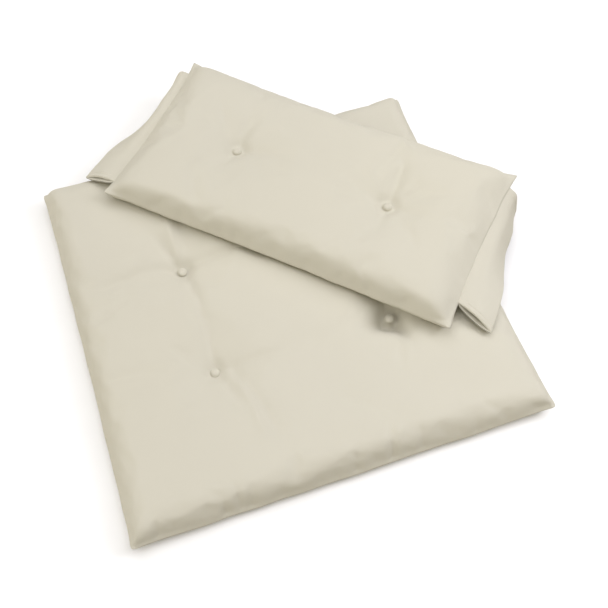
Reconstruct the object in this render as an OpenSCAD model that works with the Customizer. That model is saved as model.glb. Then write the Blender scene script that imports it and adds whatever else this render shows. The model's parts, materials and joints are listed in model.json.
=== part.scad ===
// Chair cushion set: a tufted seat pad with a tufted back pad lying across it.
// The back pad has an open cloth sleeve on each end, which slips over a chair's back post.
// Origin: centre of the seat pad's underside. +Z up, the seat's front edge faces -Y.

/* [Seat pad] */
// Width of the seat pad from seam to seam
seat_w = 480; // [440:5:520]
// Depth of the seat pad from front seam to rear seam
seat_d = 470; // [430:5:500]
// Sideways distance of a seat tuft from the middle
seat_tuft_x = 105; // [90:1:120]
// Distance of a seat tuft in front of or behind the middle of the tufts
seat_tuft_y = 70; // [60:1:90]
// How far the middle of the seat tufts lies in front of the pad's middle
seat_tuft_forward = 8; // [0:1:20]

/* [Back pad] */
// Length of the back pad from end seam to end seam
back_w = 445; // [420:5:470]
// Height of the back pad when it is in use, its short side here
back_d = 235; // [220:5:260]
// Distance of each back tuft from the middle, along the pad
back_tuft_u = 100; // [80:1:110]
// Where the back pad's middle lies, to the right of the seat's middle
back_x = 75; // [60:1:90]
// Where the back pad's middle lies, behind the seat's middle
back_y = 112; // [100:1:125]
// How far the back pad is turned, seen from above
back_turn = -44; // [-50:1:-38]
// Gap between the seat pad's crown and the back pad's underside
lie_gap = 0.3; // [0.3:0.1:1]

/* [Padding] */
// Height of each pad at its crown
pad_h = 42; // [40:1:46]
// Height of the edge seam above a pad's underside
seam_z = 18; // [17:1:20]
// Thickness of a cover panel
cloth_t = 1.2; // [1:0.1:1.5]
// Space between the cover and its filling
fill_gap = 0.3; // [0.2:0.1:0.5]
// Height at which a tuft holds the upper cover down
tuft_top_z = 27; // [25:1:29]
// Height at which a tuft holds the lower cover up
tuft_under_z = 8; // [8:1:9]

/* [Buttons] */
// Radius of a covered button
button_r = 5.7; // [5.3:0.1:6.5]
// Height of a covered button
button_h = 4.4; // [4.2:0.1:5]

/* [Post sleeves] */
// Width of a sleeve lying flat
sleeve_w = 48; // [44:1:52]
// Height of a sleeve that stands slightly open
sleeve_h = 13; // [12:0.5:14]
// Length of a sleeve from mouth to mouth
sleeve_l = 195; // [170:5:200]
// Distance between a pad's end seam and its sleeve
sleeve_gap = 1.2; // [1:0.1:2]

/* [Hidden] */

cream = [0.86, 0.84, 0.76];
lining = [0.80, 0.78, 0.69];
wadding = [0.96, 0.96, 0.94];
thread_white = [0.93, 0.92, 0.87];
tin = [0.72, 0.73, 0.75];

// Tuft places on each pad, from the pad's own middle
seat_front_left = [-seat_tuft_x, -seat_tuft_y - seat_tuft_forward];
seat_front_right = [seat_tuft_x, -seat_tuft_y - seat_tuft_forward];
seat_rear_left = [-seat_tuft_x, seat_tuft_y - seat_tuft_forward];
seat_rear_right = [seat_tuft_x, seat_tuft_y - seat_tuft_forward];
seat_tufts = [seat_front_left, seat_front_right, seat_rear_left, seat_rear_right];
back_left = [-back_tuft_u, 0];
back_right = [back_tuft_u, 0];
back_tufts = [back_left, back_right];

// A pad's side profile: how far each level lies inside the seam, and its height
profile = [
    [22, 0],
    [7, 6],
    [0, seam_z],
    [5, seam_z + 9],
    [20, pad_h - 7],
    [60, pad_h]
];
plate_t = 0.05;
corner_r = 10;

// Dimples at the tufts
dimple_r = 7;
dimple_rim_r = 34;
under_rim_r = 15;

// The seam's thread and the room that the filling leaves for it
seam_thread_in = 2.2;
seam_thread_w = 0.9;
seam_thread_h = 0.8;
seam_room = 0.6;
seam_corner_r = corner_r + seam_thread_in;

// Button construction
button_cloth_t = 0.5;
button_tin_t = 0.4;
button_edge_h = 1.6;
button_back_r = 4.5;
button_back_t = 0.9;
eye_r = 1.5;
eye_wire_r = 0.4;
eye_drop = 1.1;
bore_r = 2.2;

// Tufting twine: a loop through each button's eye and a straight run between
twine_r = 0.35;
twine_loop_r = 1.1;

// Hem stitching round each sleeve mouth
stitch_t = 0.4;
stitch_w = 0.8;
stitch_rows = [4, 9];

// Height of the slit's middle in a sleeve, so that its upper ply meets the end seam
sleeve_mid_z = seam_z + 1 - sleeve_h / 2;

// Height of a button-eye centre below the upper cover, and above the lower cover
eye_top_z = tuft_top_z - eye_drop;
eye_under_z = tuft_under_z + eye_drop;

// Places the back pad's parts on the seat
module on_seat() {
    translate([back_x, back_y, pad_h + lie_gap]) rotate([0, 0, back_turn]) children();
}

// ---- Pads ----

module rounded_plate(w, d, r) {
    for (sx = [-1, 1], sy = [-1, 1])
        translate([sx * (w / 2 - r), sy * (d / 2 - r)]) circle(r, $fn = 32);
    square([w - 2 * r, d], center = true);
    square([w, d - 2 * r], center = true);
}

// Height of a profile level once the form is shrunk by skin
function level_z(z, skin) =
    seam_z + (z - seam_z) * (1 - skin / (z > seam_z ? pad_h - seam_z : seam_z));

// Crowned pad with a knife edge at the seam, shrunk by skin on every side
module pad_form(w, d, skin) {
    hull()
        for (level = profile)
            translate([0, 0, level_z(level[1], skin) - plate_t / 2])
                linear_extrude(plate_t)
                    rounded_plate(
                        w - 2 * (level[0] + skin),
                        d - 2 * (level[0] + skin),
                        corner_r + level[0] / 2
                    );
}

// The hollows that the tufts pull into a pad, widened by skin
module dimples(tufts, skin) {
    for (at = tufts) translate([at[0], at[1], 0]) {
        translate([0, 0, tuft_top_z - skin])
            cylinder(
                h = pad_h - tuft_top_z + skin + 1,
                r1 = dimple_r + skin,
                r2 = dimple_rim_r + skin,
                $fn = 48
            );
        translate([0, 0, -1])
            cylinder(
                h = tuft_under_z + skin + 1,
                r1 = under_rim_r + skin,
                r2 = dimple_r + skin,
                $fn = 48
            );
    }
}

module tuft_bores(tufts) {
    for (at = tufts)
        translate([at[0], at[1], -1]) cylinder(h = pad_h + 2, r = bore_r, $fn = 32);
}

module tufted_form(w, d, tufts, skin) {
    difference() {
        pad_form(w, d, skin);
        dimples(tufts, skin);
    }
}

// A cover panel: the shell's upper or lower half, split at the edge seam
module cover_panel(w, d, tufts, upper) {
    slab_z = upper ? seam_z : -1;
    slab_h = upper ? pad_h : seam_z + 1;
    intersection() {
        difference() {
            tufted_form(w, d, tufts, 0);
            tufted_form(w, d, tufts, cloth_t);
            tuft_bores(tufts);
        }
        translate([-w, -d, slab_z]) cube([2 * w, 2 * d, slab_h]);
    }
}

module seam_ring(w, d, inset, ring_w, ring_h) {
    translate([0, 0, seam_z - ring_h / 2])
        linear_extrude(ring_h)
            difference() {
                rounded_plate(w - 2 * inset, d - 2 * inset, seam_corner_r - inset);
                rounded_plate(
                    w - 2 * (inset + ring_w),
                    d - 2 * (inset + ring_w),
                    seam_corner_r - inset - ring_w
                );
            }
}

module seam_thread(w, d) {
    seam_ring(w, d, seam_thread_in, seam_thread_w, seam_thread_h);
}

module filling(w, d, tufts) {
    difference() {
        tufted_form(w, d, tufts, cloth_t + fill_gap);
        tuft_bores(tufts);
        seam_ring(
            w,
            d,
            0,
            seam_thread_in + seam_thread_w + seam_room,
            seam_thread_h + 2 * seam_room
        );
    }
}

// ---- Buttons and twine ----

// A low round dome standing on z = 0
module dome(r, edge_h, top_h) {
    rise = top_h - edge_h;
    ball_r = (r * r + rise * rise) / (2 * rise);
    intersection() {
        cylinder(h = top_h, r = r, $fn = 48);
        translate([0, 0, top_h - ball_r]) sphere(ball_r, $fn = 64);
    }
}

// One of a button's nested domes, inset from its outside by skin
module button_dome(skin) {
    dome(button_r - skin, button_edge_h - skin / 2, button_h - skin);
}

module button_cap() {
    difference() {
        button_dome(0);
        button_dome(button_cloth_t);
    }
}

module button_shell() {
    difference() {
        button_dome(button_cloth_t);
        button_dome(button_cloth_t + button_tin_t);
    }
}

// Back plate with the wire eye that the twine holds
module button_back() {
    cylinder(h = button_back_t, r = button_back_r, $fn = 48);
    translate([0, 0, -eye_drop])
        rotate([90, 0, 0])
            rotate_extrude($fn = 32)
                translate([eye_r, 0]) circle(eye_wire_r, $fn = 16);
}

// Puts a button on the upper or the lower cover at a tuft
module at_tuft(at, upper) {
    translate([at[0], at[1], upper ? tuft_top_z : tuft_under_z])
        rotate([upper ? 0 : 180, 0, 0])
            children();
}

module twine(at) {
    top_loop_z = eye_top_z - eye_r;
    under_loop_z = eye_under_z + eye_r;
    translate([at[0], at[1], 0]) {
        for (z = [top_loop_z, under_loop_z])
            translate([0, 0, z])
                rotate([0, 90, 0])
                    rotate_extrude($fn = 32)
                        translate([twine_loop_r, 0]) circle(twine_r, $fn = 16);
        translate([0, 0, under_loop_z + twine_loop_r])
            cylinder(
                h = top_loop_z - under_loop_z - 2 * twine_loop_r,
                r = 2 * twine_r,
                $fn = 24
            );
    }
}

// ---- Post sleeves ----

// Round-ended cross-section of a sleeve, with its wall removed by skin
module sleeve_outline(skin) {
    r = sleeve_h / 2;
    for (side = [-1, 1])
        translate([side * (sleeve_w / 2 - r), 0]) circle(r - skin, $fn = 48);
    square([sleeve_w - 2 * r, sleeve_h - 2 * skin], center = true);
}

// Runs a cross-section along the sleeve, over length l about the sleeve's middle
module along_sleeve(l, shift = 0) {
    translate([0, shift + l / 2, 0]) rotate([90, 0, 0]) linear_extrude(l) children();
}

// side is -1 for the left sleeve and 1 for the right one
module at_end(side) {
    on_seat()
        translate([side * (back_w / 2 + sleeve_gap + sleeve_w / 2), 0, sleeve_mid_z])
            children();
}

module sleeve(side) {
    at_end(side)
        along_sleeve(sleeve_l)
            difference() {
                sleeve_outline(0);
                sleeve_outline(cloth_t);
            }
}

module hem_stitching(side) {
    at_end(side)
        for (mouth = [-1, 1], row = stitch_rows)
            along_sleeve(stitch_w, mouth * (sleeve_l / 2 - row))
                difference() {
                    sleeve_outline(-stitch_t);
                    sleeve_outline(0);
                }
}

// ---- Seat pad nodes ----

module seat_top_panel() { color(cream) cover_panel(seat_w, seat_d, seat_tufts, true); }
module seat_bottom_panel() { color(lining) cover_panel(seat_w, seat_d, seat_tufts, false); }
module seat_filling() { color(wadding) filling(seat_w, seat_d, seat_tufts); }
module seat_seam_thread() { color(thread_white) seam_thread(seat_w, seat_d); }

module seat_button(at) { color(cream) at_tuft(at, true) button_cap(); }
module seat_under_button(at) { color(lining) at_tuft(at, false) button_cap(); }
module seat_twine(at) { color(thread_white) twine(at); }

module seat_button_shells(upper) {
    color(tin) for (at = seat_tufts) at_tuft(at, upper) button_shell();
}
module seat_button_backs(upper) {
    color(tin) for (at = seat_tufts) at_tuft(at, upper) button_back();
}

// ---- Back pad nodes ----

module back_panel(upper) {
    color(upper ? cream : lining) on_seat() cover_panel(back_w, back_d, back_tufts, upper);
}
module back_filling() { color(wadding) on_seat() filling(back_w, back_d, back_tufts); }
module back_seam_thread() { color(thread_white) on_seat() seam_thread(back_w, back_d); }

module back_button(at, upper) { color(cream) on_seat() at_tuft(at, upper) button_cap(); }
module back_twine(at) { color(thread_white) on_seat() twine(at); }

module back_button_shells(upper) {
    color(tin) on_seat() for (at = back_tufts) at_tuft(at, upper) button_shell();
}
module back_button_backs(upper) {
    color(tin) on_seat() for (at = back_tufts) at_tuft(at, upper) button_back();
}

// ---- Sleeve nodes ----

module post_sleeve(side) { color(cream) sleeve(side); }
module sleeve_stitching(side) { color(thread_white) hem_stitching(side); }

seat_top_panel();
seat_bottom_panel();
seat_filling();
seat_seam_thread();
seat_button(seat_front_left);  // seat_button_front_left
seat_button(seat_front_right);  // seat_button_front_right
seat_button(seat_rear_left);  // seat_button_rear_left
seat_button(seat_rear_right);  // seat_button_rear_right
seat_under_button(seat_front_left);  // seat_under_button_front_left
seat_under_button(seat_front_right);  // seat_under_button_front_right
seat_under_button(seat_rear_left);  // seat_under_button_rear_left
seat_under_button(seat_rear_right);  // seat_under_button_rear_right
seat_button_shells(true);
seat_button_shells(false);  // seat_under_button_shells
seat_button_backs(true);
seat_button_backs(false);  // seat_under_button_backs
seat_twine(seat_front_left);  // seat_twine_front_left
seat_twine(seat_front_right);  // seat_twine_front_right
seat_twine(seat_rear_left);  // seat_twine_rear_left
seat_twine(seat_rear_right);  // seat_twine_rear_right
back_panel(true);  // back_front_panel
back_panel(false);  // back_rear_panel
back_filling();
back_seam_thread();
back_button(back_left, true);  // back_button_left
back_button(back_right, true);  // back_button_right
back_button(back_left, false);  // back_rear_button_left
back_button(back_right, false);  // back_rear_button_right
back_button_shells(true);
back_button_shells(false);  // back_rear_button_shells
back_button_backs(true);
back_button_backs(false);  // back_rear_button_backs
back_twine(back_left);  // back_twine_left
back_twine(back_right);  // back_twine_right
post_sleeve(-1);  // left_sleeve
sleeve_stitching(-1);  // left_sleeve_stitching
post_sleeve(1);  // right_sleeve
sleeve_stitching(1);  // right_sleeve_stitching
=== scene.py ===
import json
import math

import bmesh
import bpy
from mathutils import Matrix, Vector, noise


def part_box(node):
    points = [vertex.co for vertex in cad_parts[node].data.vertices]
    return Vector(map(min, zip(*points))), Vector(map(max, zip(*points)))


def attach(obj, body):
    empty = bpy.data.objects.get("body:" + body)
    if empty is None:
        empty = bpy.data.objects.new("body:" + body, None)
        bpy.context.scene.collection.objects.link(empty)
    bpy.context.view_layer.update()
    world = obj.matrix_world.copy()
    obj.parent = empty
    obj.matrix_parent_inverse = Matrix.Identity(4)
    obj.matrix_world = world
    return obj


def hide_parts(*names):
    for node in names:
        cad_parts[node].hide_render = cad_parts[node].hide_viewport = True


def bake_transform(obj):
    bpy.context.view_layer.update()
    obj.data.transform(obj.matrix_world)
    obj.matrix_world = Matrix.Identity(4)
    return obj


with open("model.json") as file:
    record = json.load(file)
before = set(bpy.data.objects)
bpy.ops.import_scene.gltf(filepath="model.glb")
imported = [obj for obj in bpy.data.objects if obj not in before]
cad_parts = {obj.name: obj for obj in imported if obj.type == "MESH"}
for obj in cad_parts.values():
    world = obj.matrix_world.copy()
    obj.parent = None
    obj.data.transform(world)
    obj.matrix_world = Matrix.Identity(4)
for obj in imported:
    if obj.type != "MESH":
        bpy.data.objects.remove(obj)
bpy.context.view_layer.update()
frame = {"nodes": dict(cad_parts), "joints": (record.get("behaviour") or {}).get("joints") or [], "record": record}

bl_info = {
    "name": "Sleeved Chair Cushion Set",
    "version": (1, 0, 0),
    "blender": (4, 5, 0),
    "location": "View3D > Sidebar > Cushions",
    "description": "A tufted seat pad and a tufted back pad with open post sleeves",
    "category": "Add Mesh",
}

MM = 0.001
YARN = 0.62 * MM            # from one yarn of the cloth to the next
SETTLE_LIMIT = 3.5 * MM     # how far a point of cloth may settle
SKIN = 7 * MM               # from a cover to its wadding
SEAT = "seat_pad"
BACK = "back_pad"
SLEEVE_BODIES = {"left": "left_post_sleeve", "right": "right_post_sleeve"}


# ---------------------------------------------------------------- settings

def millimetres(name, description, default, least=0):
    """A setting given in millimetres and kept in metres"""
    return bpy.props.FloatProperty(name=name, description=description, subtype="DISTANCE",
                                   default=default * MM, min=least * MM)


def degrees(name, description, default):
    """A setting given in degrees and kept in radians"""
    return bpy.props.FloatProperty(name=name, description=description, subtype="ANGLE",
                                   default=math.radians(default))


def tint(name, description, default):
    return bpy.props.FloatVectorProperty(name=name, description=description, subtype="COLOR",
                                         default=default, min=0, max=1)


class PadSettings:
    """Sizes that both padded covers have"""

    cloth_step: millimetres("Cloth Step", "Spacing of the cover's mesh before smoothing", 4.2, 2)
    under_shoulder: millimetres("Under Shoulder",
                                "How far in from the seam the lower cover turns flat", 13, 5)
    folds: bpy.props.FloatProperty(
        name="Folds", description="How much deeper than listed the folds are pressed",
        default=1.6, min=0)
    lumps: millimetres("Lumps", "Height of the filling's soft lumps under the cloth", 1.1)


class CushionSeatSettings(PadSettings, bpy.types.PropertyGroup):
    """Sizes of the seat pad's cover"""

    side_slope: degrees("Side Slope", "How steeply the front and rear sides rise", 78)
    side_run: millimetres("Side Run",
                          "Cloth from the front and rear seams to the shoulder's bend", 11)
    side_bend: millimetres("Side Bend",
                           "Cloth over which the front and rear shoulders bend flat", 26, 1)
    end_slope: degrees("End Slope", "How steeply the left and right ends rise", 66)
    end_run: millimetres("End Run",
                         "Cloth from the left and right seams to the shoulder's bend", 13)
    end_bend: millimetres("End Bend",
                          "Cloth over which the left and right shoulders bend flat", 20, 1)
    corner: millimetres("Corner", "How round the sewn corners are", 5)
    ear: millimetres("Ear", "How far the corners' tips stand out", 2)
    dome: millimetres("Dome", "How much higher the middle is than the shoulders", 2)
    seam_sag: millimetres("Seam Sag", "How far the front and rear seams sag between corners", 7)
    end_sag: millimetres("End Sag", "How far the left and right seams sag between corners", 5)
    pull_in: millimetres("Pull In", "How far a side's middle is drawn in between its corners", 0.8)
    lip: millimetres("Seam Lip", "How far the sewn edge stands out of the seam", 1.2)
    dimple: millimetres("Dimple", "How far from a tuft its pull dies away", 17, 1)
    swell: millimetres("Swell", "How far the cloth swells up round a button", 0)


class CushionBackSettings(PadSettings, bpy.types.PropertyGroup):
    """Sizes of the back pad's cover"""

    side_slope: degrees("Side Slope", "How steeply the front and rear sides rise", 64)
    side_run: millimetres("Side Run",
                          "Cloth from the front and rear seams to the shoulder's bend", 8)
    side_bend: millimetres("Side Bend",
                           "Cloth over which the front and rear shoulders bend flat", 22, 1)
    end_slope: degrees("End Slope", "How steeply the left and right ends rise", 34)
    end_run: millimetres("End Run",
                         "Cloth from the left and right seams to the shoulder's bend", 10)
    end_bend: millimetres("End Bend",
                          "Cloth over which the left and right shoulders bend flat", 30, 1)
    corner: millimetres("Corner", "How round the sewn corners are", 2.5)
    ear: millimetres("Ear", "How far the corners' tips stand out", 2.5)
    dome: millimetres("Dome", "How much higher the middle is than the shoulders", 5)
    seam_sag: millimetres("Seam Sag", "How far the front and rear seams sag between corners", 8)
    end_sag: millimetres("End Sag", "How far the left and right seams sag between corners", 2)
    pull_in: millimetres("Pull In", "How far a side's middle is drawn in between its corners", 4)
    lip: millimetres("Seam Lip", "How far the sewn edge stands out of the seam", 0.6)
    dimple: millimetres("Dimple", "How far from a tuft its pull dies away", 36, 1)
    swell: millimetres("Swell", "How far the cloth swells up round a button", 1)


class CushionSleeveSettings(bpy.types.PropertyGroup):
    """Sizes of the post sleeves"""

    reach: millimetres("Reach", "Width of a sleeve from its seam to its fold", 49, 20)
    hem: millimetres("Hem", "Width of the hem turned in at each mouth", 10, 2)
    cloth: millimetres("Cloth", "Thickness of the sleeve's cloth", 0.6, 0.2)
    stitch: millimetres("Stitch", "Length of one hem stitch", 2.6, 1)


class CushionColourSettings(bpy.types.PropertyGroup):
    """Colours of the cloth, thread and metal"""

    cover: tint("Cover", "Colour of the cover cloth", (0.595, 0.566, 0.465))
    thread: tint("Thread", "Colour of the sewing thread", (0.74, 0.70, 0.58))
    wadding: tint("Wadding", "Colour of the fibre filling", (0.86, 0.86, 0.84))
    metal: tint("Metal", "Colour of the buttons' metal", (0.62, 0.63, 0.65))


class CushionStudioSettings(bpy.types.PropertyGroup):
    """Camera and light"""

    lens: bpy.props.FloatProperty(
        name="Lens", description="Focal length on a 36 mm sensor", default=53.35, min=10)
    azimuth: degrees("Azimuth", "The camera's direction round the set", -17.8)
    elevation: degrees("Elevation", "The camera's height angle", 60.9)
    roll: degrees("Roll", "The camera's turn about its own axis", -1.3)
    distance: millimetres("Distance", "From the camera to its aim", 1086, 100)
    aim: bpy.props.FloatVectorProperty(
        name="Aim", description="The point that the camera looks at",
        default=(0.023, -0.012, 0), subtype="TRANSLATION")


# ---------------------------------------------------------------- shared shapes

def ease(t):
    """0 to 1 with a soft start and end."""
    t = min(max(t, 0.0), 1.0)
    return t * t * (3 - 2 * t)


def mix(a, b, t):
    return a + (b - a) * t


def joint(name):
    return next(j for j in frame["joints"] if j["name"] == name)


class Crease:
    """A soft valley along points in a pad's own axes, fading towards its last point.

    A depth below nothing makes it a ridge."""

    def __init__(self, *points, depth, width, hold=0.2):
        self.points = [Vector(p) * MM for p in points]
        self.depth, self.width, self.hold = depth * MM, width * MM, hold
        self.lengths = [(b - a).length for a, b in zip(self.points, self.points[1:])]
        reach = 4 * self.width
        self.low = [min(p[k] for p in self.points) - reach for k in (0, 1)]
        self.high = [max(p[k] for p in self.points) + reach for k in (0, 1)]

    def depth_at(self, at):
        if not (self.low[0] < at.x < self.high[0] and self.low[1] < at.y < self.high[1]):
            return 0.0
        nearest, along, done = 1.0, 0.0, 0.0
        for a, b, length in zip(self.points, self.points[1:], self.lengths):
            t = min(max((at - a).dot(b - a) / length ** 2, 0), 1)
            off = (at - a.lerp(b, t)).length
            if off < nearest:
                nearest, along = off, done + t * length
            done += length
        share = along / done
        fade = 1 - ease((share - self.hold) / (1 - self.hold))
        return self.depth * fade * math.exp(-((nearest / self.width) ** 1.3))


class SideCurve:
    """A cover's run up its side, by cloth distance from the seam."""

    STEP = 0.5 * MM

    def __init__(self, slope, run, bend):
        self.insets, self.rises = [0.0], [0.0]
        for k in range(int((run + bend) / self.STEP)):
            angle = slope * (1 - ease((k * self.STEP - run) / bend))
            self.insets.append(self.insets[-1] + math.cos(angle) * self.STEP)
            self.rises.append(self.rises[-1] + math.sin(angle) * self.STEP)
        self.length = (len(self.insets) - 1) * self.STEP
        self.spare = self.length - self.insets[-1]

    def at(self, p):
        """How far in from the seam, and the share of the side's rise."""
        if p >= self.length:
            return p - self.spare, 1.0
        k, t = int(p / self.STEP), (p / self.STEP) % 1
        inset = mix(self.insets[k], self.insets[k + 1], t)
        return inset, mix(self.rises[k], self.rises[k + 1], t) / self.rises[-1]


class Pad:
    """A pad's plan, heights and tufts, in its own axes: x along, y across, z up."""

    def __init__(self, centre, along, size, heights):
        self.half = Vector(size) / 2
        self.seam, self.crown, self.tuft = heights
        self.tufts = []
        across = Vector((0, 0, 1)).cross(along)
        turn = Matrix((along, across, Vector((0, 0, 1)))).transposed()
        self.place = Matrix.Translation(centre) @ turn.to_4x4()

    def own(self, point):
        return self.place.inverted() @ Vector(point)

    def add_tufts(self, nodes):
        for node in nodes:
            low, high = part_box(node)
            self.tufts.append(self.own((low + high) / 2).to_2d())


def seat_shape():
    low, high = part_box("seat_top_panel")
    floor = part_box("seat_bottom_panel")[0].z
    pad = Pad(
        centre=Vector(((low.x + high.x) / 2, (low.y + high.y) / 2, floor)),
        along=Vector((1, 0, 0)),
        size=(high.x - low.x, high.y - low.y),
        heights=(low.z - floor, high.z - floor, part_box("seat_button_front_left")[0].z - floor),
    )
    places = ("front_left", "front_right", "rear_left", "rear_right")
    pad.add_tufts(f"seat_button_{place}" for place in places)
    return pad


def back_shape():
    ends = [Vector(joint(f"{side}_sleeve_fold")["pos_m"]) for side in ("left", "right")]
    along = (ends[1] - ends[0]).normalized()
    middle = (ends[0] + ends[1]) / 2
    low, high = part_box("back_front_panel")
    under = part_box("back_rear_panel")[0].z
    length = (ends[1] - ends[0]).length
    depth = (high.x - low.x - length * abs(along.x)) / abs(along.y)
    rounding = 5 * MM
    pad = Pad(
        centre=Vector((middle.x, middle.y, under)),
        along=along,
        size=(length, depth + rounding),
        heights=(low.z - under, high.z - under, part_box("back_button_left")[0].z - under),
    )
    pad.add_tufts(["back_button_left", "back_button_right"])
    return pad


def new_mesh_object(name, bm):
    mesh = bpy.data.meshes.new(name)
    bm.to_mesh(mesh)
    bm.free()
    obj = bpy.data.objects.new(name, mesh)
    bpy.context.scene.collection.objects.link(obj)
    for polygon in mesh.polygons:
        polygon.use_smooth = True
    return obj


def panel_grid(half_cloth, step):
    """A flat panel of cloth as a grid with its own measure as UV."""
    bm = bmesh.new()
    counts = [max(4, round(2 * h / step)) for h in half_cloth]
    uv = bm.loops.layers.uv.new("Cloth")
    bmesh.ops.create_grid(bm, x_segments=counts[0], y_segments=counts[1], size=1)
    for vert in bm.verts:
        vert.co.x *= half_cloth[0]
        vert.co.y *= half_cloth[1]
    for face in bm.faces:
        for loop in face.loops:
            loop[uv].uv = loop.vert.co.xy
    return bm


class CoverForm:
    """Turns a place on a flat panel into a place on the finished, filled pad."""

    def __init__(self, pad, look, seed, skin=0.0):
        self.pad, self.look, self.skin = pad, look, skin
        self.seed = Vector((seed, 2 * seed, 0))
        self.sides = (
            SideCurve(look.end_slope, look.end_run, look.end_bend),
            SideCurve(look.side_slope, look.side_run, look.side_bend),
        )
        self.half_cloth = pad.half + Vector([side.spare for side in self.sides])

    def plan(self, flat):
        """Where a point of cloth lies in plan, how far in it is and its rise on each side."""
        spot, insets, shares = flat.copy(), [], []
        for k in (0, 1):
            inset, share = self.sides[k].at(self.half_cloth[k] - abs(flat[k]))
            shrink = 1 - 2 * self.skin / self.pad.half[k]
            spot[k] = math.copysign((self.pad.half[k] - inset) * shrink, flat[k])
            insets.append(inset)
            shares.append(share)
        return spot, insets, shares

    def outline(self, at, insets):
        """Draws the sides' middles in and rounds the corners."""
        look = self.look
        out = at.copy()
        for k in (0, 1):
            middle = 1 - (at[1 - k] / self.pad.half[1 - k]) ** 2
            pull = look.pull_in * max(middle, 0) * math.exp(-insets[k] / (50 * MM))
            wave = 0.9 * MM * noise.noise(Vector((at[1 - k] / (30 * MM), k, at[k])) + self.seed)
            out[k] -= math.copysign(pull + wave * math.exp(-insets[k] / (9 * MM)), at[k])
        ear = 0 if self.skin else look.ear * math.exp(-(insets[0] + insets[1]) / (9 * MM))
        out += Vector([math.copysign(ear, value) for value in at])
        a, b = (max(look.corner + 2 * self.skin - inset, 0) for inset in insets)
        if a > 0 and b > 0:
            trim = 1 - max(a, b) / math.hypot(a, b)
            out.x -= math.copysign(a * trim, at.x)
            out.y -= math.copysign(b * trim, at.y)
        return out

    def seam_height(self, at, insets):
        """The seam sags between its corners."""
        k = 0 if insets[0] < insets[1] else 1
        middle = 1 - abs(at[1 - k] / self.pad.half[1 - k]) ** 4
        sag = self.look.seam_sag if k else self.look.end_sag
        wave = 0.8 * MM * noise.noise(Vector((at.x, at.y, 0)) / (40 * MM) + self.seed)
        return self.pad.seam - sag * max(middle, 0) + wave - 0.3 * self.skin

    def seam_point(self, end, across):
        """The point of the seam of the left (-1) or right (1) end, at a place across it."""
        at = Vector((end * self.pad.half.x, across))
        insets = (0.0, self.pad.half.y - abs(across))
        out = self.outline(at, insets)
        return Vector((out.x, out.y, self.seam_height(at, insets)))

    def upper(self, flat):
        pad, look = self.pad, self.look
        at, insets, shares = self.plan(flat)
        seam = self.seam_height(at, insets)
        bow = (1 - (at.x / pad.half.x) ** 2) * (1 - (at.y / pad.half.y) ** 2)
        top = pad.crown - self.skin - look.dome * (1 - max(bow, 0) ** 0.8)
        height = mix(seam, top, shares[0] * shares[1])
        lump = noise.noise(Vector((at.x, at.y, 0)) / (70 * MM) + self.seed)
        lump += 0.4 * noise.noise(Vector((at.x, at.y, 0)) / (27 * MM) - self.seed)
        height += look.lumps * (lump - 0.7) * min(shares)
        for tuft in pad.tufts:
            reach = max((at - tuft).length - 5.2 * MM, 0)
            pull = 0.45 * math.exp(-reach / (3.5 * MM)) + 0.55 * math.exp(-reach / look.dimple)
            height = mix(height, min(pad.tuft + look.swell - self.skin, height), pull)
        return self.outline(at, insets).to_3d() + Vector((0, 0, height))

    def lower(self, flat):
        at, insets, _ = self.plan(flat)
        seam = self.seam_height(at, insets)
        fall = 1.0
        for inset in insets:
            fall *= math.sqrt(1 - (1 - min(inset / self.look.under_shoulder, 1)) ** 2)
        height = mix(seam, self.skin, fall)
        for tuft in self.pad.tufts:
            reach = max((at - tuft).length - 5 * MM, 0) / (9 * MM)
            height = max(height, self.skin + 8 * MM * math.exp(-reach ** 1.2))
        return self.outline(at, insets).to_3d() + Vector((0, 0, height))

    def build(self, name, step):
        """The closed cover, and the points of it that lie on the seam."""
        shell = bmesh.new()
        scratch = bpy.data.meshes.new("panel")
        for shape, under in ((self.upper, False), (self.lower, True)):
            bm = panel_grid(self.half_cloth, step)
            for vert in bm.verts:
                vert.co = shape(vert.co.xy)
            if under:
                bmesh.ops.reverse_faces(bm, faces=bm.faces)
            bm.to_mesh(scratch)
            bm.free()
            shell.from_mesh(scratch)
        bpy.data.meshes.remove(scratch)
        rim = [v for v in shell.verts if v.is_boundary]
        bmesh.ops.remove_doubles(shell, verts=rim, dist=0.01 * MM)
        shell.verts.index_update()
        seam = [v.index for v in rim if v.is_valid]
        return new_mesh_object(name, shell), seam


# ---------------------------------------------------------------- shader helpers

class Value:
    """A shader socket that takes part in sums written as plain expressions."""

    def __init__(self, tree, socket):
        self.tree, self.socket = tree, socket

    def _math(self, operation, *others):
        node = self.tree.nodes.new("ShaderNodeMath")
        node.operation = operation
        for place, item in zip(node.inputs, (self, *others)):
            if isinstance(item, Value):
                self.tree.links.new(item.socket, place)
            else:
                place.default_value = item
        return Value(self.tree, node.outputs[0])

    def __add__(self, other):
        return self._math("ADD", other)

    __radd__ = __add__

    def __sub__(self, other):
        return self._math("SUBTRACT", other)

    def __rsub__(self, other):
        return self._math("MULTIPLY", -1)._math("ADD", other)

    def __mul__(self, other):
        return self._math("MULTIPLY", other)

    __rmul__ = __mul__

    def wave(self):
        """0 to 1 and back over each whole number."""
        return (self * math.pi)._math("SINE")._math("ABSOLUTE")

    def odd(self):
        """1 on every second whole number, else 0."""
        return (self * 0.5)._math("FRACT")._math("GREATER_THAN", 0.4999)

    def floor(self):
        return self._math("FLOOR")

    def near(self, reach):
        """1 where the value is within a reach of nothing, and 0 elsewhere."""
        return self._math("COMPARE", 0.0, reach)


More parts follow.
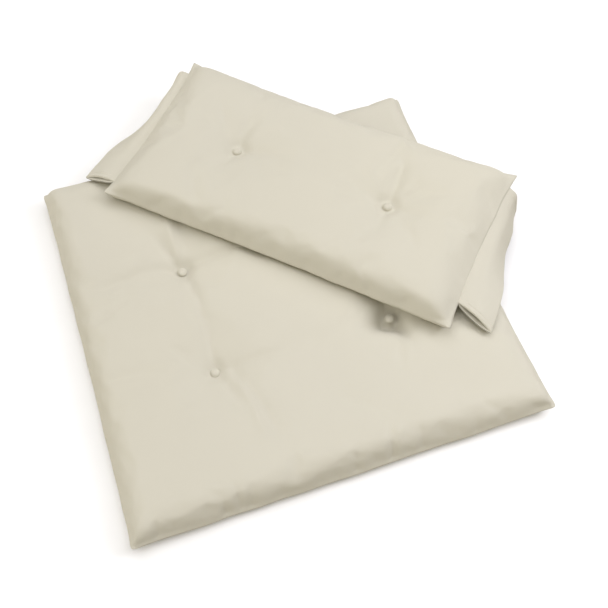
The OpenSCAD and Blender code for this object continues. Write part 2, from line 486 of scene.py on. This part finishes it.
class Finish:
    """A material under construction: one principled shader and the nodes that feed it."""

    def __init__(self, name, roughness, **fixed):
        self.material = bpy.data.materials.new(name)
        self.material.use_nodes = True
        self.tree = self.material.node_tree
        self.shader = self.tree.nodes["Principled BSDF"]
        self.shader.inputs["Roughness"].default_value = roughness
        for socket, value in fixed.items():
            self.shader.inputs[socket.replace("_", " ")].default_value = value

    def node(self, kind, settings=None, **inputs):
        node = self.tree.nodes.new(kind)
        for key, value in (settings or {}).items():
            setattr(node, key, value)
        for key, value in inputs.items():
            name = key.replace("_", " ")
            place = next(s for s in node.inputs if s.name == name and s.enabled)
            if isinstance(value, Value):
                self.tree.links.new(value.socket, place)
            elif isinstance(value, bpy.types.NodeSocket):
                self.tree.links.new(value, place)
            else:
                place.default_value = value
        return node

    def value(self, node, output=0):
        return Value(self.tree, node.outputs[output])

    def noise(self, coordinates, scale, detail=2.0, roughness=0.5):
        node = self.node("ShaderNodeTexNoise", Vector=coordinates, Scale=scale,
                         Detail=detail, Roughness=roughness)
        return self.value(node, "Fac")

    def blend(self, factor, a, b):
        node = self.node("ShaderNodeMix", {"data_type": "RGBA"}, Factor=factor)
        for socket, colour in zip((s for s in node.inputs if s.type == "RGBA"), (a, b)):
            if isinstance(colour, bpy.types.NodeSocket):
                self.tree.links.new(colour, socket)
            else:
                socket.default_value = (*colour, 1)
        return next(s for s in node.outputs if s.type == "RGBA")

    def bump(self, height, distance, strength=1.0, under=None):
        inputs = {"Height": height, "Distance": distance, "Strength": strength}
        if under is not None:
            inputs["Normal"] = under
        return self.node("ShaderNodeBump", **inputs).outputs["Normal"]

    def feed(self, socket, link):
        link = link.socket if isinstance(link, Value) else link
        self.tree.links.new(link, self.shader.inputs[socket])


def shade(colour, by):
    return tuple(min(c * by, 1.0) for c in colour)


def woven_cloth(name, colour, on_uv=True, turn=0.0):
    """Plain-woven cotton: crossing yarns, slubs, faint blotches and a soft nap.

    turn is how far from the cloth's middle its hems are turned in, where thin lines are painted dark as the shade
    inside each hem's fold."""
    cloth = Finish(name, 0.86, Sheen_Weight=0.12, Sheen_Roughness=0.6, Specular_IOR_Level=0.25)
    place = cloth.node("ShaderNodeTexCoord").outputs["Object"]
    flat = place
    if on_uv:
        flat = cloth.node("ShaderNodeUVMap", {"uv_map": "Cloth"}).outputs["UV"]
    split = cloth.node("ShaderNodeSeparateXYZ", Vector=flat)
    along = cloth.value(split, 1)
    warp = cloth.value(split, 0) * (1 / YARN)
    weft = along * (1 / YARN)
    over = (warp.floor() + weft.floor()).odd()
    yarns = over * warp.wave() + (1 - over) * weft.wave()
    slub = cloth.noise(flat, 420, 3)
    blotch = cloth.noise(place, 9, 3)
    cast = cloth.noise(place, 3.1, 1)
    warm = cloth.blend(cast, colour, (colour[0], colour[1] * 1.01, colour[2] * 1.06))
    blotches_and_painted_roll_shade = cloth.blend(blotch * 0.5, warm, shade(colour, 0.95))
    # Painted shade: thin dark lines where each hem is turned in stand in for the shade in its fold; the blotches
    # before them are the cloth's own tone.
    if turn:
        painted_roll_shade = (along - turn).near(0.5 * MM) + (along + turn).near(0.5 * MM)
        blotches_and_painted_roll_shade = cloth.blend(painted_roll_shade, blotches_and_painted_roll_shade, shade(colour, 0.3))
    cloth.feed("Base Color", cloth.blend(yarns * 0.10 + slub * 0.10, blotches_and_painted_roll_shade, shade(colour, 1.07)))
    cloth.feed("Roughness", 0.80 + 0.12 * slub)
    nap = cloth.bump(slub, 0.12 * MM, 0.5)
    cloth.feed("Normal", cloth.bump(yarns, 0.16 * MM, 0.5, nap))
    return cloth.material


def twisted_thread(name, colour, turn):
    """Thread with the slanting ridges of its ply."""
    thread = Finish(name, 0.55, Sheen_Weight=0.2, Sheen_Roughness=0.5)
    place = thread.node("ShaderNodeTexCoord").outputs["Object"]
    split = thread.node("ShaderNodeSeparateXYZ", Vector=place)
    slant = thread.value(split, 0) + thread.value(split, 1) + thread.value(split, 2) * 1.6
    ply = (slant * (1 / turn)).wave()
    fuzz = thread.noise(place, 900, 2)
    thread.feed("Base Color", thread.blend(ply, shade(colour, 0.82), colour))
    thread.feed("Roughness", 0.5 + 0.2 * fuzz)
    thread.feed("Normal", thread.bump(ply + 0.3 * fuzz, 0.08 * MM, 0.7))
    return thread.material


def fibre_wadding(name, colour):
    """Loose white polyester fibre."""
    fibre = Finish(name, 0.9, Sheen_Weight=0.4, Sheen_Roughness=0.5)
    place = fibre.node("ShaderNodeTexCoord").outputs["Object"]
    tufts = fibre.noise(place, 60, 6, 0.7)
    strands = fibre.noise(place, 380, 4, 0.8)
    fibre.feed("Base Color", fibre.blend(tufts, shade(colour, 0.88), colour))
    fibre.feed("Roughness", 0.85 + 0.1 * strands)
    fibre.feed("Normal", fibre.bump(tufts + 0.5 * strands, 1.2 * MM, 0.8))
    return fibre.material


def pressed_tin(name, colour):
    """Stamped sheet metal with faint draw marks."""
    metal = Finish(name, 0.35, Metallic=1.0)
    place = metal.node("ShaderNodeTexCoord").outputs["Object"]
    marks = metal.noise(place, 700, 3)
    film = metal.noise(place, 150, 2)
    metal.feed("Base Color", metal.blend(film, shade(colour, 0.8), colour))
    metal.feed("Roughness", 0.28 + 0.2 * marks)
    metal.feed("Normal", metal.bump(marks, 0.02 * MM, 0.5))
    return metal.material


def finish_for(kind):
    """The set's materials, each made once."""
    name = f"{kind}_finish"
    if name in bpy.data.materials:
        return bpy.data.materials[name]
    colours = bpy.context.scene.cushion_colours
    cover = tuple(colours.cover)
    makers = {
        "cover_cloth": lambda: woven_cloth(name, cover),
        # The sleeve cloth's finish paints shade lines where its hems are turned in.
        "sleeve_cloth": lambda: woven_cloth(name, shade(cover, 0.99),
                                            turn=SleeveForm("left").length / 2 + 1 * MM),
        "button_cloth": lambda: woven_cloth(name, cover, on_uv=False),
        "sewing_thread": lambda: twisted_thread(name, tuple(colours.thread), 0.5 * MM),
        "tufting_twine": lambda: twisted_thread(name, tuple(colours.thread), 0.9 * MM),
        "fibre_filling": lambda: fibre_wadding(name, tuple(colours.wadding)),
        "button_metal": lambda: pressed_tin(name, tuple(colours.metal)),
    }
    return makers[kind]()


def dress(obj, kind):
    """Gives a piece one material slot, holding the finish of its kind."""
    obj.data.materials.clear()
    obj.data.materials.append(finish_for(kind))


def smooth_out(obj):
    """One round of subdivision, the same in the view and the render."""
    rounding = obj.modifiers.new("Smooth", "SUBSURF")
    rounding.levels = 1
    rounding.render_levels = 1


# ---------------------------------------------------------------- pads

def hold_cloth(obj, pad, seam):
    """Weights of the points that the seam, the tufts and the floor hold still."""
    held = obj.vertex_groups.new(name="held")
    own = pad.place.inverted()
    for vert in obj.data.vertices:
        at = own @ vert.co
        tuft = min((at.xy - t).length for t in pad.tufts)
        fixed = tuft < 9 * MM or vert.index in seam or at.z < 3 * MM
        held.add([vert.index], 1.0 if fixed else 0.05, "REPLACE")


def settle(obj, pad, seam):
    """Lets the cover settle as slightly loose cloth blown up by its filling."""
    start = [v.co.copy() for v in obj.data.vertices]
    hold_cloth(obj, pad, set(seam))
    cloth = obj.modifiers.new("Settle", "CLOTH")
    rules = cloth.settings
    rules.quality = 5
    rules.mass = 0.25
    rules.tension_stiffness = 18
    rules.compression_stiffness = 18
    rules.shear_stiffness = 6
    rules.bending_stiffness = 1.2
    rules.use_pressure = True
    rules.uniform_pressure_force = 2.0
    rules.vertex_group_mass = "held"
    rules.shrink_min = -0.007
    rules.effector_weights.gravity = 0
    cloth.collision_settings.use_collision = False
    for number in range(1, 16):
        bpy.context.scene.frame_set(number)
    seen = obj.evaluated_get(bpy.context.evaluated_depsgraph_get()).to_mesh()
    moved = [v.co.copy() for v in seen.vertices]
    obj.modifiers.remove(cloth)
    bpy.context.scene.frame_set(1)
    for vert, was, now in zip(obj.data.vertices, start, moved):
        step = now - was
        vert.co = was + step * min(1, SETTLE_LIMIT / max(step.length, 1e-9))
    obj.vertex_groups.clear()


def press_creases(obj, form, seam, creases, puckers):
    """Presses the folds and the seam's gathers into the settled cloth."""
    pad = form.pad
    own = pad.place.inverted()
    skip = set(seam)
    normals = [vert.normal.copy() for vert in obj.data.vertices]
    for vert, normal in zip(obj.data.vertices, normals):
        at = own @ vert.co
        side = min(pad.half.x - abs(at.x), pad.half.y - abs(at.y))
        if vert.index in skip or normal.z < 0:
            continue
        tuft = min((at.xy - t).length for t in pad.tufts)
        give = ease((side - 2 * MM) / (14 * MM)) * ease((tuft - 4 * MM) / (6 * MM))
        drop = sum(crease.depth_at(at.xy) for crease in creases) * give * form.look.folds
        gather = sum(pucker.depth_at(at.xy) for pucker in puckers)
        run = at.x + at.y if abs(at.x) / pad.half.x < abs(at.y) / pad.half.y else at.y - at.x
        ripple = noise.noise(Vector((run / (11 * MM), round(at.x / pad.half.x), 0)) + form.seed)
        gather += 0.8 * MM * ripple * math.exp(-max(side, 0) / (8 * MM))
        vert.co.z -= drop
        vert.co -= normal * gather


def bear(obj, pad, top):
    """Keeps cloth level where another pad lies on it."""
    own = pad.place.inverted()
    for vert in obj.data.vertices:
        at = own @ vert.co
        inset = min(pad.half.x - abs(at.x), pad.half.y - abs(at.y))
        if inset > 0:
            vert.co.z = min(vert.co.z, top + 5 * MM * (1 - ease(inset / (13 * MM))))


def raise_lip(obj, seam, lip):
    """Draws the sewn edge out into a crisp ridge."""
    bm = bmesh.new()
    bm.from_mesh(obj.data)
    bm.normal_update()
    bm.verts.ensure_lookup_table()
    sewn = {bm.verts[index] for index in seam}
    sharp = bm.edges.layers.float.new("crease_edge")
    for edge in bm.edges:
        if edge.verts[0] in sewn and edge.verts[1] in sewn:
            edge[sharp] = 0.7
    for vert in sewn:
        out = Vector((vert.normal.x, vert.normal.y, 0))
        vert.co += out.normalized() * lip
    bm.to_mesh(obj.data)
    bm.free()


def make_seam_thread(name, cover, form, seam, body, node):
    """The thread that closes the cover, a little inside its sewn edge."""
    own = form.pad.place.inverted()
    points = [own @ cover.data.vertices[index].co for index in seam]
    points.sort(key=lambda p: math.atan2(p.y / form.pad.half.y, p.x / form.pad.half.x))
    line = bpy.data.curves.new(name, "CURVE")
    line.dimensions = "3D"
    line.bevel_depth = 0.3 * MM
    line.bevel_resolution = 1
    spline = line.splines.new("POLY")
    spline.points.add(len(points) - 1)
    spline.use_cyclic_u = True
    for spot, point in zip(spline.points, points):
        inner = point.copy()
        inner.x *= 1 - 3 * MM / form.pad.half.x
        inner.y *= 1 - 3 * MM / form.pad.half.y
        spot.co = (*(form.pad.place @ inner), 1)
    obj = bpy.data.objects.new(name, line)
    bpy.context.scene.collection.objects.link(obj)
    dress(obj, "sewing_thread")
    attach(obj, body)
    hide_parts(node)


def make_cover(name, form, body, nodes, creases, puckers=()):
    """A pad's cover in the row frame, riding on its body."""
    obj, seam = form.build(name, form.look.cloth_step)
    obj.data.transform(form.pad.place)
    settle(obj, form.pad, seam)
    press_creases(obj, form, seam, creases, puckers)
    if body == SEAT:
        bear(obj, back_shape(), form.pad.place.translation.z + form.pad.crown - 0.2 * MM)
    make_seam_thread(f"{body}_seam", obj, form, seam, body, nodes[-1])
    raise_lip(obj, seam, form.look.lip)
    smooth_out(obj)
    dress(obj, "cover_cloth")
    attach(obj, body)
    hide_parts(*nodes[:-1])


def make_wadding(name, form, body, node, creases):
    """The filling, a little inside its cover."""
    inner = CoverForm(form.pad, form.look, 5, skin=SKIN)
    obj, seam = inner.build(name, 9 * MM)
    obj.data.transform(form.pad.place)
    press_creases(obj, inner, seam, creases, ())
    smooth_out(obj)
    dress(obj, "fibre_filling")
    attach(obj, body)
    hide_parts(node)


def seat_folds(tufts):
    """The folds that run from the seat's tufts, and the gathers at its front seam."""
    front_left, front_right, rear_left, rear_right = [t / MM for t in tufts]
    creases = [
        Crease(rear_left, (-98, 12), (-100, -36), front_left, depth=3.0, width=7, hold=0.9),
        Crease(rear_left, (-126, 68), (-154, 70), (-187, 64), (-232, 58),
               depth=3.2, width=6, hold=0.6),
        Crease((-232, 38), (-208, 39), (-184, 37), depth=1.8, width=8),
        Crease(rear_left, (-119, 98), (-133, 134), depth=3.6, width=9, hold=0.5),
        Crease(rear_left, (-104, 99), (-106, 140), depth=-2.6, width=6, hold=0.6),
        Crease(rear_left, (-62, 66), (-31, 67), (-6, 44), (40, 40), depth=2.8, width=5, hold=0.6),
        Crease(front_left, (-75, -81), (-41, -83), (-5, -83), (40, -86), front_right,
               depth=1.4, width=6, hold=0.1),
        Crease(front_left, (-95, -106), (-92, -122), (-95, -146), depth=2.6, width=6),
        Crease((-84, -84), (-70, -130), (-60, -176), (-55, -205), depth=2.4, width=6, hold=0.4),
        Crease((-80, -104), (-76, -159), (-70, -190), depth=-1.8, width=7, hold=0.5),
        Crease(front_right, (86, -82), (60, -88), depth=8.5, width=8, hold=0.3),
        Crease(front_right, (110, -96), (114, -122), depth=8.5, width=8, hold=0.3),
        Crease(front_right, (94, -92), (92, -102), depth=4.5, width=9, hold=0.4),
        Crease(front_right, (150, -60), (190, -52), depth=1.6, width=9),
        Crease(front_right, rear_right, depth=2.4, width=7, hold=0.5),
        Crease(rear_right, (122, 110), (128, 150), depth=2.2, width=7),
        Crease(rear_right, (160, 70), (215, 84), depth=1.8, width=7),
        Crease((20, -160), (60, -190), (90, -230), depth=1.2, width=12),
    ]
    puckers = [
        Crease((-213, -236), (-205, -216), depth=3.6, width=2.8),
        Crease((-139, -236), (-136, -218), depth=3.4, width=3.0),
        Crease((-122, -236), (-121, -210), depth=3.2, width=2.8),
        Crease((-109, -236), (-105, -214), depth=3.2, width=2.6),
        Crease((8, -236), (12, -214), depth=2.6, width=3.0),
        Crease((49, -236), (56, -198), depth=4.0, width=3.4),
        Crease((86, -236), (84, -204), depth=2.4, width=2.6),
        Crease((150, -236), (146, -222), depth=2.2, width=2.8),
    ]
    return creases, puckers


def back_folds(tufts):
    """The folds that run from the back pad's tufts."""
    left, right = [t / MM for t in tufts]
    return [
        Crease(left, (-103, 36), (-107, 74), depth=3.4, width=7, hold=0.3),
        Crease(left, (-104, -28), (-112, -56), depth=3.0, width=7, hold=0.3),
        Crease(left, (-56, 6), (-22, 2), depth=2.4, width=7, hold=0.3),
        Crease(left, (-140, 20), (-175, 26), depth=1.2, width=9),
        Crease(right, (98, 47), (96, 96), depth=3.4, width=7, hold=0.3),
        Crease(right, (101, -37), (103, -66), depth=3.0, width=7, hold=0.3),
        Crease(right, (70, 4), (38, 8), depth=2.0, width=7),
        Crease(right, (148, -3), (182, -8), depth=1.8, width=9),
        Crease((112, 22), (119, 33), (126, 46), depth=1.4, width=3.5, hold=0.5),
    ]


class CUSHION_OT_seat_cover(bpy.types.Operator):
    """Make the seat pad's cover and filling"""

    bl_idname = "cushion.seat_cover"
    bl_label = "Seat Pad"

    def execute(self, context):
        form = CoverForm(seat_shape(), context.scene.cushion_seat, 1)
        nodes = ("seat_top_panel", "seat_bottom_panel", "seat_seam_thread")
        creases, puckers = seat_folds(form.pad.tufts)
        make_cover("seat_cover", form, SEAT, nodes, creases, puckers)
        make_wadding("seat_wadding", form, SEAT, "seat_filling", creases)
        return {"FINISHED"}


class CUSHION_OT_back_cover(bpy.types.Operator):
    """Make the back pad's cover and filling"""

    bl_idname = "cushion.back_cover"
    bl_label = "Back Pad"

    def execute(self, context):
        form = CoverForm(back_shape(), context.scene.cushion_back, 3)
        nodes = ("back_front_panel", "back_rear_panel", "back_seam_thread")
        creases = back_folds(form.pad.tufts)
        make_cover("back_cover", form, BACK, nodes, creases)
        make_wadding("back_wadding", form, BACK, "back_filling", creases)
        return {"FINISHED"}


# ---------------------------------------------------------------- buttons

def button_mesh(name, radius, height):
    """A cloth-covered dome with faint gathers round its rim, standing on z = 0."""
    bm = bmesh.new()
    outline = [(0, 1.0), (0.35, 0.97), (0.65, 0.84), (0.87, 0.58), (0.985, 0.28), (0.95, 0.06),
               (0.82, 0.0)]
    verts = [bm.verts.new((r * radius, 0, z * height)) for r, z in outline]
    edges = [bm.edges.new(pair) for pair in zip(verts, verts[1:])]
    bmesh.ops.spin(bm, geom=verts + edges, cent=(0, 0, 0), axis=(0, 0, 1),
                   angle=2 * math.pi, steps=40, use_merge=True)
    bmesh.ops.remove_doubles(bm, verts=bm.verts, dist=0.01 * MM)
    bmesh.ops.holes_fill(bm, edges=[e for e in bm.edges if e.is_boundary], sides=0)
    for vert in bm.verts:
        turn = math.atan2(vert.co.y, vert.co.x)
        low = 1 - min(vert.co.z / (0.5 * height), 1)
        vert.co.xy *= 1 + 0.02 * low * math.cos(14 * turn)
    bmesh.ops.recalc_face_normals(bm, faces=bm.faces)
    return new_mesh_object(name, bm)


def make_button(node, body, upper):
    """The cloth cap in a CAD cap's place, turned over on the underside."""
    low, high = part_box(node)
    middle = (low + high) / 2
    radius = (high.x - low.x) / 2 + 0.1 * MM
    obj = button_mesh(f"{node}_cap", radius, high.z - low.z + 0.2 * MM)
    if not upper:
        obj.data.transform(Matrix.Rotation(math.pi, 4, "X"))
    base = low.z if upper else high.z
    obj.data.transform(Matrix.Translation((middle.x, middle.y, base)))
    smooth_out(obj)
    dress(obj, "button_cloth")
    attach(obj, body)
    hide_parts(node)


class CUSHION_OT_buttons(bpy.types.Operator):
    """Make the covered buttons on both faces of both pads"""

    bl_idname = "cushion.buttons"
    bl_label = "Buttons"

    def execute(self, context):
        for body, members in frame["record"]["behaviour"]["bodies"].items():
            for node in members:
                if "button" in node and not node.endswith(("shells", "backs")):
                    make_button(node, body, not ("under" in node or "rear_button" in node))
        return {"FINISHED"}


# ---------------------------------------------------------------- post sleeves

class SleeveForm:
    """Turns a place on a sleeve's strip of cloth into its place beside the back pad.

    a runs from -1 at the upper raw edge, over the fold at 0, to 1 at the lower raw edge.
    q is the way along the strip, from the inner end of one hem to that of the other."""

    def __init__(self, side):
        self.side = side
        self.sign = -1 if side == "left" else 1
        self.look = bpy.context.scene.cushion_sleeves
        self.pad = back_shape()
        self.back = CoverForm(self.pad, bpy.context.scene.cushion_back, 3)
        self.seat = seat_shape()
        low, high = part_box(f"{side}_sleeve")
        wide = self.pad.place.to_3x3().col[0]
        width = 48 * MM
        self.length = (high.x - low.x - width * abs(wide.x)) / abs(wide.y)

    def droop(self, t):
        """Slope at the seam, slope at the fold, how far the first holds, and the opening."""
        if self.side == "right":
            first = mix(8, 34, ease((t - 0.3) / 0.65))
            last = mix(14, 66, ease((t - 0.1) / 0.6)) + 14 * ease((t - 0.8) / 0.2)
            level = mix(16, 5, t)
            opening = mix(8.0, 2.4, ease(2.5 * t))
        else:
            first = mix(12, -8, ease((t - 0.15) / 0.4))
            last = mix(24, 64, ease((t - 0.15) / 0.55))
            level = mix(14, 4, ease(t / 0.6))
            opening = mix(5.5, 2.4, ease(2.5 * t))
        return math.radians(first), math.radians(last), level * MM, opening * MM

    def spine(self, t, reach):
        """The point at a distance from the seam on the sleeve's middle line, and its slope."""
        first, last, level, _ = self.droop(t)
        steps = 20
        x = z = 0.0
        for k in range(steps):
            slope = mix(first, last, ease((reach * (k + 0.5) / steps - level) / (15 * MM)))
            x += math.cos(slope) * reach / steps
            z -= math.sin(slope) * reach / steps
        return x, z, mix(first, last, ease((reach - level) / (15 * MM)))

    def rest_height(self, point):
        """The lowest that the sleeve may hang where it lies over the seat pad."""
        place = self.pad.place @ point
        over = max(abs(place.x) - self.seat.half.x, abs(place.y) - self.seat.half.y) + 9 * MM
        return 0.9 * MM - 3 * max(over, 0)

    def place(self, a, q, lift=0.0):
        look = self.look
        run = q - look.hem
        turn, turned = 2.4 * MM, 2.2 * MM
        over = max(-run, run - self.length)
        along = min(max(run, -run), 2 * self.length - max(run, -run))
        inner = turned * ease(over / turn + 0.4)
        t = along / self.length
        share = 1 - abs(a)
        x, z, slope = self.spine(t, share * look.reach)
        opening = self.droop(t)[3]
        belly = math.sin(math.pi * share ** 0.9) ** 0.7 if share < 1 else 0.0
        tip = math.sqrt(max(1 - share ** 12, 0))
        gap = (0.5 * MM + opening / 2 * belly) * tip
        gap = max(gap - inner, 0.15 * MM * tip) + lift
        up = -1 if a > 0 else 1
        sway = 0.8 * MM * noise.noise(Vector((3 * share, 9 * t, self.sign * 4)))
        slant = 16 * MM * (1 - share) * (1 - ease(2.2 * t)) * (self.side == "right")
        peek = 3.5 * MM * math.sqrt(math.sin(math.pi * share)) if 0 < share < 1 else 0.0
        slant -= peek * (a > 0) * (1 - ease(3 * t))
        across = along - self.length / 2 + slant
        start = self.back.seam_point(self.sign, across)
        x += up * gap * math.sin(slope) - 1.5 * MM
        z += up * gap * math.cos(slope) + sway * share
        point = start + Vector((self.sign * x, 0, z - 0.5 * MM))
        point.y = across
        lowest = self.rest_height(point) + (gap if up > 0 else 0.0)
        if share > 0.25:
            point.z = max(point.z, lowest)
        return point

    def strip(self):
        """(width, length) of the cloth before it is folded and hemmed."""
        return 2 * self.look.reach, self.length + 2 * self.look.hem


def make_sleeve(side):
    form = SleeveForm(side)
    width, length = form.strip()
    bm = panel_grid(Vector((width, length)) / 2, 2.4 * MM)
    for vert in bm.verts:
        vert.co = form.place(vert.co.x / (width / 2), vert.co.y + length / 2)
    if side == "left":
        bmesh.ops.reverse_faces(bm, faces=bm.faces)
    obj = new_mesh_object(f"{side}_post_sleeve_cloth", bm)
    obj.data.transform(form.pad.place)
    wall = obj.modifiers.new("Cloth", "SOLIDIFY")
    wall.thickness = form.look.cloth
    wall.offset = 0
    smooth_out(obj)
    dress(obj, "sleeve_cloth")
    body = SLEEVE_BODIES[side]
    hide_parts(f"{side}_sleeve")
    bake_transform(obj)
    stitching = hem_stitches(side, form, body)


def hem_stitches(side, form, body):
    """Two rows of stitches round each mouth, through both plies."""
    look = form.look
    bm = bmesh.new()
    pitch = 1.25 * look.stitch
    count = int(2 * look.reach * 0.86 / pitch)
    for mouth in (0, 1):
        for row in (2.2 * MM, 8 * MM):
            along = row if mouth == 0 else form.length - row
            for k in range(count):
                a = (k + 0.5 - count / 2) * pitch / look.reach
                reach = look.stitch / look.reach / 2
                ends = [form.place(x, along + look.hem, 0.45 * MM) for x in (a - reach, a + reach)]
                add_stitch(bm, *ends)
    obj = new_mesh_object(f"{side}_hem_stitches", bm)
    obj.data.transform(form.pad.place)
    dress(obj, "sewing_thread")
    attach(obj, body)
    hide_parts(f"{side}_sleeve_stitching")
    return obj


def add_stitch(bm, a, b):
    """One stitch: a short, round-ended length of thread."""
    run = b - a
    turn = run.to_track_quat("Z", "Y").to_matrix().to_4x4()
    size = Matrix.Diagonal((0.28 * MM, 0.28 * MM, run.length / 2, 1))
    bmesh.ops.create_uvsphere(bm, u_segments=6, v_segments=5, radius=1,
                              matrix=Matrix.Translation((a + b) / 2) @ turn @ size)


class CUSHION_OT_sleeves(bpy.types.Operator):
    """Make the two post sleeves and their hem stitches"""

    bl_idname = "cushion.sleeves"
    bl_label = "Post Sleeves"

    def execute(self, context):
        for side in SLEEVE_BODIES:
            make_sleeve(side)
        return {"FINISHED"}


# ---------------------------------------------------------------- hidden hardware

class CUSHION_OT_hardware(bpy.types.Operator):
    """Finish the metal, twine and seam thread inside the pads"""

    bl_idname = "cushion.hardware"
    bl_label = "Inside Hardware"

    def execute(self, context):
        for part in frame["record"]["subparts"]:
            if part["material_slot"] in ("button_metal", "tufting_twine", "sewing_thread"):
                obj = frame["nodes"][part["node"]]
                obj.data.materials.clear()
                obj.data.materials.append(finish_for(part["material_slot"]))
        return {"FINISHED"}


# ---------------------------------------------------------------- stage

def soft_light(name, towards, spread, strength, colour=(1, 1, 1)):
    """An even light from one direction, as wide as a softbox close by."""
    lamp = bpy.data.lights.new(name, "SUN")
    lamp.angle = math.radians(spread)
    lamp.energy = strength
    lamp.color = colour
    obj = bpy.data.objects.new(name, lamp)
    obj.location = towards
    obj.rotation_euler = (-Vector(towards)).to_track_quat("-Z", "Y").to_euler()
    bpy.context.scene.collection.objects.link(obj)


def softbox(name, place, size, power, colour):
    """A square lamp close by, aimed at the set."""
    lamp = bpy.data.lights.new(name, "AREA")
    lamp.size = size
    lamp.energy = power
    lamp.color = colour
    obj = bpy.data.objects.new(name, lamp)
    obj.location = place
    obj.rotation_euler = (-Vector(place)).to_track_quat("-Z", "Y").to_euler()
    bpy.context.scene.collection.objects.link(obj)


class CUSHION_OT_stage(bpy.types.Operator):
    """Make the floor, the lights and the camera"""

    bl_idname = "cushion.stage"
    bl_label = "Stage"

    def execute(self, context):
        scene = context.scene
        studio = scene.cushion_studio
        scene.view_settings.view_transform = "Standard"

        bm = bmesh.new()
        bmesh.ops.create_grid(bm, x_segments=1, y_segments=1, size=6)
        floor = new_mesh_object("floor", bm)
        pale = Finish("pale_floor", 0.9)
        place = pale.node("ShaderNodeTexCoord").outputs["Object"]
        grain = pale.noise(place, 40, 2)
        seen = pale.blend(grain, (0.93, 0.93, 0.93), (0.95, 0.95, 0.95))
        # Painted shade: the floor is pale only to camera rays; to every other ray it is a darker warm colour, so
        # it bounces less light, darkening the pads' sides and warming their shadows.
        direct = pale.value(pale.node("ShaderNodeLightPath"), "Is Camera Ray")
        pale.feed("Base Color", pale.blend(direct, (0.62, 0.59, 0.52), seen))
        floor.data.materials.append(pale.material)

        world = bpy.data.worlds.new("studio")
        world.use_nodes = True
        world.node_tree.nodes["Background"].inputs["Color"].default_value = (1, 0.91, 0.66, 1)
        world.node_tree.nodes["Background"].inputs["Strength"].default_value = 0.2
        scene.world = world
        softbox("key", (1.3, -0.3, 1.2), 0.6, 11.0, (0.98, 0.98, 1.05))
        soft_light("overhead", (0.25, 0.35, 2.0), 82, 2.3, (0.99, 0.99, 1.04))
        soft_light("fill", (-0.95, -0.25, 0.25), 60, 1.5, (1, 0.97, 0.9))

        camera = bpy.data.cameras.new("camera")
        camera.lens = studio.lens
        camera.sensor_width = 36
        across = math.sin(studio.azimuth) * math.cos(studio.elevation)
        away = -math.cos(studio.azimuth) * math.cos(studio.elevation)
        back = Vector((across, away, math.sin(studio.elevation)))
        obj = bpy.data.objects.new("camera", camera)
        turn = back.to_track_quat("Z", "Y").to_matrix().to_4x4()
        turn = turn @ Matrix.Rotation(studio.roll, 4, "Z")
        obj.matrix_world = Matrix.Translation(Vector(studio.aim) + back * studio.distance) @ turn
        scene.collection.objects.link(obj)
        scene.camera = obj
        return {"FINISHED"}


# ---------------------------------------------------------------- add-on

class CUSHION_PT_panel(bpy.types.Panel):
    """Lists the set's pieces and settings"""

    bl_label = "Chair Cushion Set"
    bl_idname = "CUSHION_PT_panel"
    bl_space_type = "VIEW_3D"
    bl_region_type = "UI"
    bl_category = "Cushions"

    def draw(self, context):
        layout = self.layout
        for operator in OPERATORS:
            layout.operator(operator.bl_idname)
        for name in SETTINGS:
            box = layout.box()
            group = getattr(context.scene, name)
            for key in group.bl_rna.properties.keys():
                if key not in ("rna_type", "name"):
                    box.prop(group, key)


SETTINGS = {
    "cushion_seat": CushionSeatSettings,
    "cushion_back": CushionBackSettings,
    "cushion_sleeves": CushionSleeveSettings,
    "cushion_colours": CushionColourSettings,
    "cushion_studio": CushionStudioSettings,
}
OPERATORS = (
    CUSHION_OT_stage,
    CUSHION_OT_seat_cover,
    CUSHION_OT_back_cover,
    CUSHION_OT_buttons,
    CUSHION_OT_sleeves,
    CUSHION_OT_hardware,
)
CLASSES = (*SETTINGS.values(), *OPERATORS, CUSHION_PT_panel)


def register():
    for cls in CLASSES:
        bpy.utils.register_class(cls)
    for name, group in SETTINGS.items():
        setattr(bpy.types.Scene, name, bpy.props.PointerProperty(type=group))


def unregister():
    for name in SETTINGS:
        delattr(bpy.types.Scene, name)
    for cls in reversed(CLASSES):
        bpy.utils.unregister_class(cls)


def main():
    register()
    for operator in OPERATORS:
        group, name = operator.bl_idname.split(".")
        getattr(getattr(bpy.ops, group), name)()


if __name__ == "__main__":
    main()
